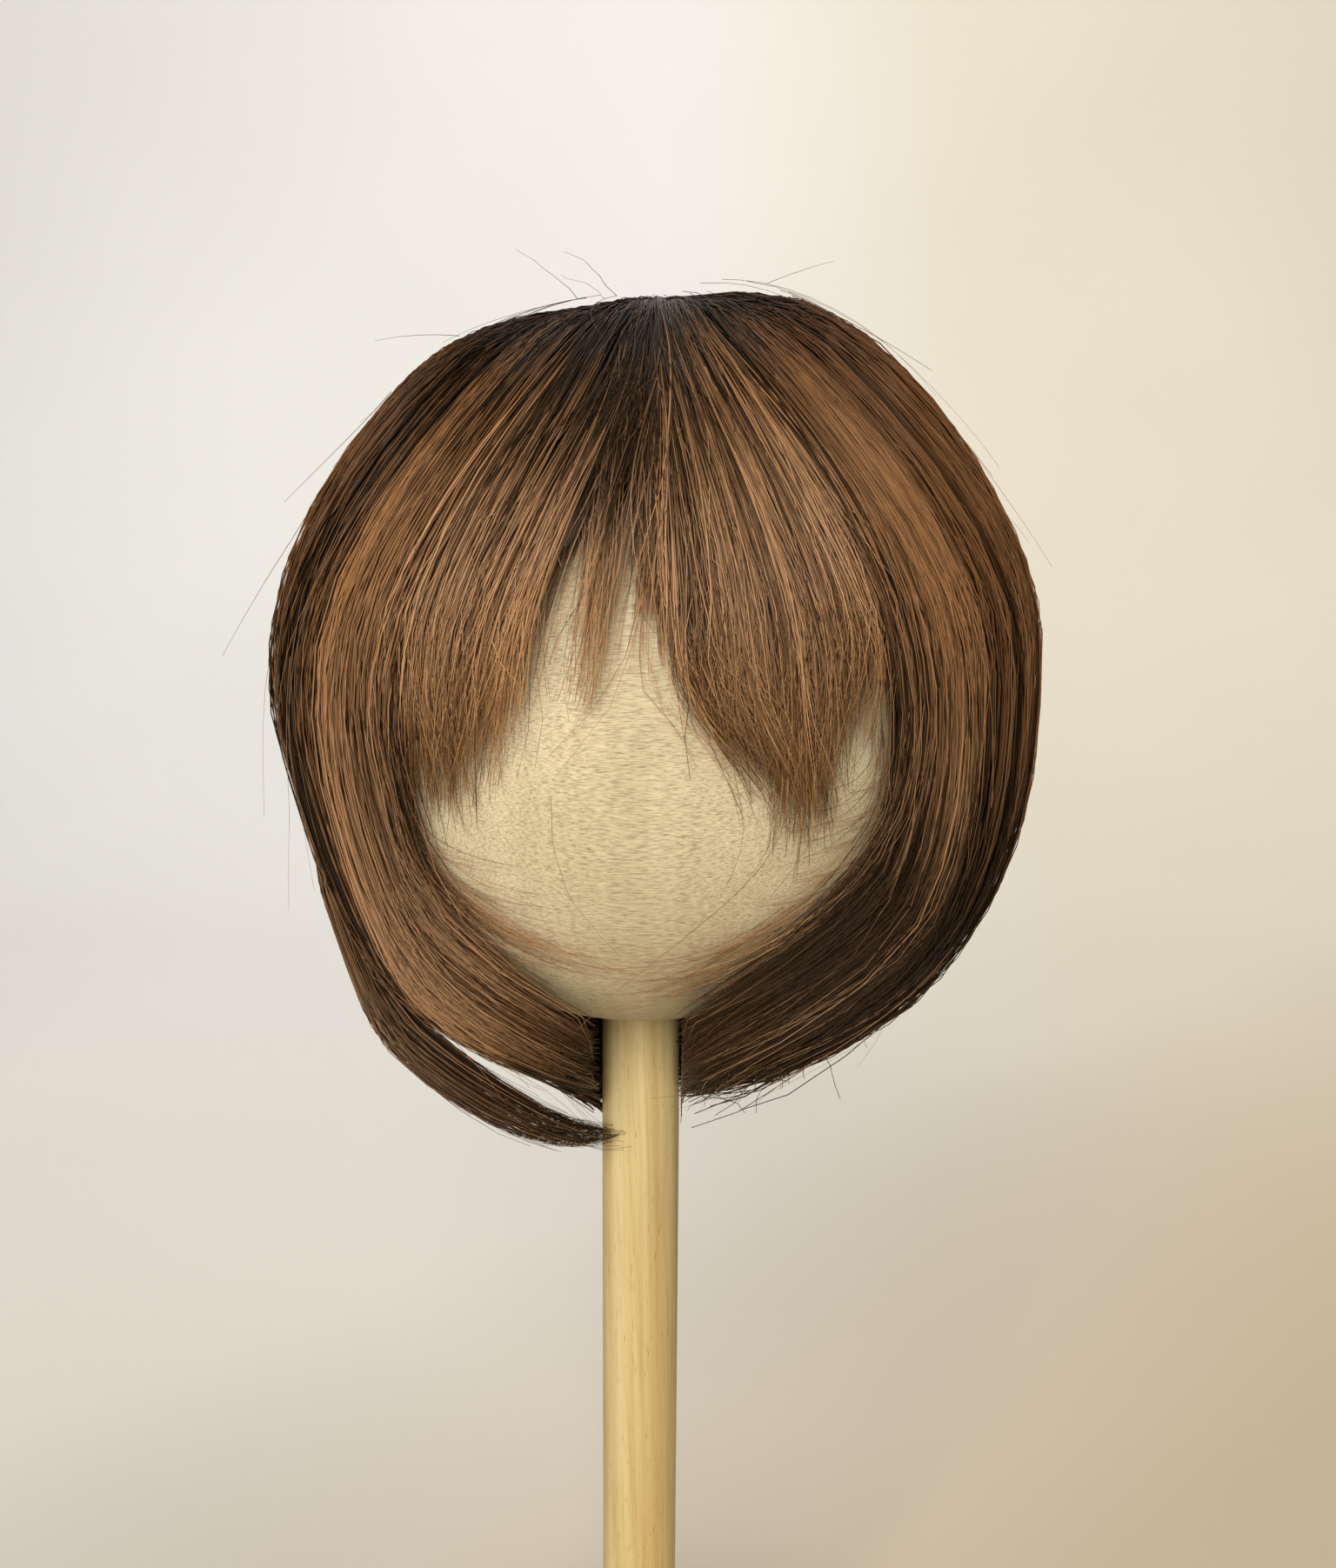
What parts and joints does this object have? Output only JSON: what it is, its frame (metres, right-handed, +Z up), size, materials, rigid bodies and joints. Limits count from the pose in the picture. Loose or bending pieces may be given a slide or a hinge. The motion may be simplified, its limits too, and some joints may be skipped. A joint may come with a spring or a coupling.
{
  "type": "doll wig on a ball stand",
  "caption": "Short bob doll wig with a parted fringe and inward curl, resting on a turned wooden ball on a dowel with a round foot.",
  "frame": {"origin": "centre of the foot's underside, where the stand rests", "axes": "+Z up along the dowel, the fringe faces -Y, +X to the right as seen from the front"},
  "size_m": [0.0737, 0.0741, 0.1829],
  "materials": {
    "cap_knit": "matt dark brown knit",
    "crown_cloth": "matt pale cloth",
    "brown_hair": "satin brown fibre",
    "ball_wood": "bare sanded wood",
    "dowel_wood": "bare sanded wood",
    "foot_wood": "bare sanded wood"
  },
  "bodies": {
    "root": {"wig_cap": "cap_knit", "crown_disc": "crown_cloth", "fringe_left": "brown_hair", "fringe_right": "brown_hair", "side_left": "brown_hair", "side_right": "brown_hair", "back_left": "brown_hair", "back_right": "brown_hair", "stand_ball": "ball_wood", "stand_dowel": "dowel_wood", "stand_foot": "foot_wood"}
  },
  "joints": []
}
